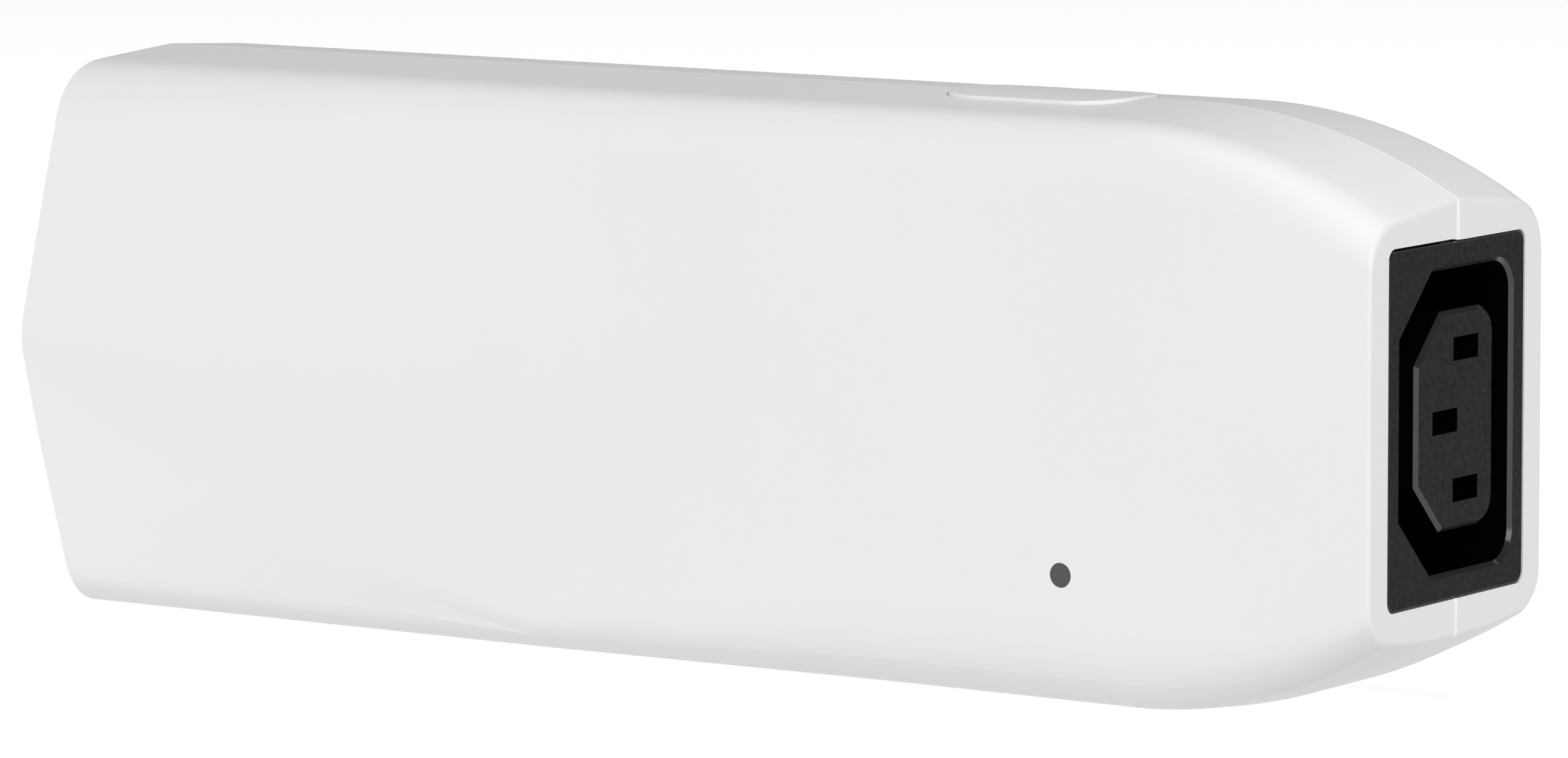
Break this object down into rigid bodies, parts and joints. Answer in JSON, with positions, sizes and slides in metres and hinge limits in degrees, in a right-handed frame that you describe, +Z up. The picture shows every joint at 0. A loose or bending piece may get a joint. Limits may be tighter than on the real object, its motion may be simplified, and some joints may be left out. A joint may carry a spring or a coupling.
{
  "type": "powerline adapter",
  "caption": "In-line mains network adapter: two-shell housing with a keyed mains outlet, a matching inlet, a network jack, a push button and a status lens.",
  "frame": {"origin": "centre of the bottom land the adapter stands on, half way along its length", "axes": "+X towards the outlet end, -Y the front with the status lens, +Z up towards the button"},
  "size_m": [0.1628, 0.0514, 0.0606],
  "materials": {
    "white_housing": "fine spark-eroded satin",
    "button_white": "satin",
    "black_insert": "satin face with glossy recess walls",
    "smoked_lens": "smoked clear plastic",
    "steel_screw": "zinc plated",
    "tin_brass": "bright rolled strip",
    "nickel_blade": "nickel plated",
    "jack_steel": "tin plated sheet",
    "gold_contact": "gold plated",
    "board_green": "solder mask over glass laminate",
    "film_yellow": "potted box",
    "grey_polymer": "moulded",
    "blue_disc": "dipped epoxy",
    "ferrite": "sintered ferrite",
    "copper_winding": "enamelled copper",
    "winding_tape": "polyester tape",
    "chip_black": "moulded epoxy",
    "can_sleeve": "shrink sleeve",
    "sink_aluminium": "extruded",
    "crystal_can": "drawn can",
    "lamp_resin": "clear resin",
    "wire_brown": "extruded insulation",
    "wire_blue": "extruded insulation",
    "wire_earth": "extruded insulation",
    "tan_resistor": "glazed",
    "tan_capacitor": "fired"
  },
  "bodies": {
    "housing": {"board_screws": "steel_screw", "bridge_rectifier": "chip_black", "bulk_capacitors": "can_sleeve", "chip_capacitors": "tan_capacitor", "chip_resistors": "tan_resistor", "choke_base": "chip_black", "choke_core": "ferrite", "choke_windings": "copper_winding", "circuit_board": "board_green", "clock_crystal": "crystal_can", "earth_wire": "wire_earth", "front_shell": "white_housing", "fuse": "grey_polymer", "heat_sink": "sink_aluminium", "housing_screws": "steel_screw", "inductor_core": "ferrite", "inductor_winding": "copper_winding", "inlet_body": "black_insert", "inlet_earth_blade": "nickel_blade", "inlet_line_blade": "nickel_blade", "inlet_line_wire": "wire_brown", "inlet_neutral_blade": "nickel_blade", "inlet_neutral_wire": "wire_blue", "jack_contacts": "gold_contact", "jack_insert": "black_insert", "jack_shield": "jack_steel", "line_capacitor": "film_yellow", "line_modem_chip": "chip_black", "line_transformer": "chip_black", "mains_capacitors": "film_yellow", "memory_chips": "chip_black", "network_chip": "chip_black", "network_magnetics": "chip_black", "opto_coupler": "chip_black", "outlet_body": "black_insert", "outlet_earth_clip": "tin_brass", "outlet_line_clip": "tin_brass", "outlet_line_wire": "wire_brown", "outlet_neutral_clip": "tin_brass", "outlet_neutral_wire": "wire_blue", "output_capacitors": "can_sleeve", "rear_shell": "white_housing", "safety_capacitor": "blue_disc", "status_lamp": "lamp_resin", "status_lens": "smoked_lens", "supply_controller": "chip_black", "surge_varistor": "blue_disc", "switch_body": "chip_black", "transformer_bobbin": "chip_black", "transformer_core": "ferrite", "transformer_winding": "winding_tape", "voltage_regulators": "chip_black"},
    "button": {"pair_button": "button_white"},
    "plunger": {"switch_plunger": "grey_polymer"}
  },
  "joints": [
    {"name": "button_press", "type": "slide", "parent": "housing", "child": "button", "axis": [0, 0, -1], "range_m": [0, 0.0005], "stiffness_N_per_m": 2500, "springref_m": -0.0001},
    {"name": "plunger_press", "type": "slide", "parent": "housing", "child": "plunger", "axis": [0, 0, -1], "range_m": [0, 0.0005]}
  ],
  "couplings": [
    {"joint": "plunger_press", "follows": "button_press", "ratio": 1}
  ]
}
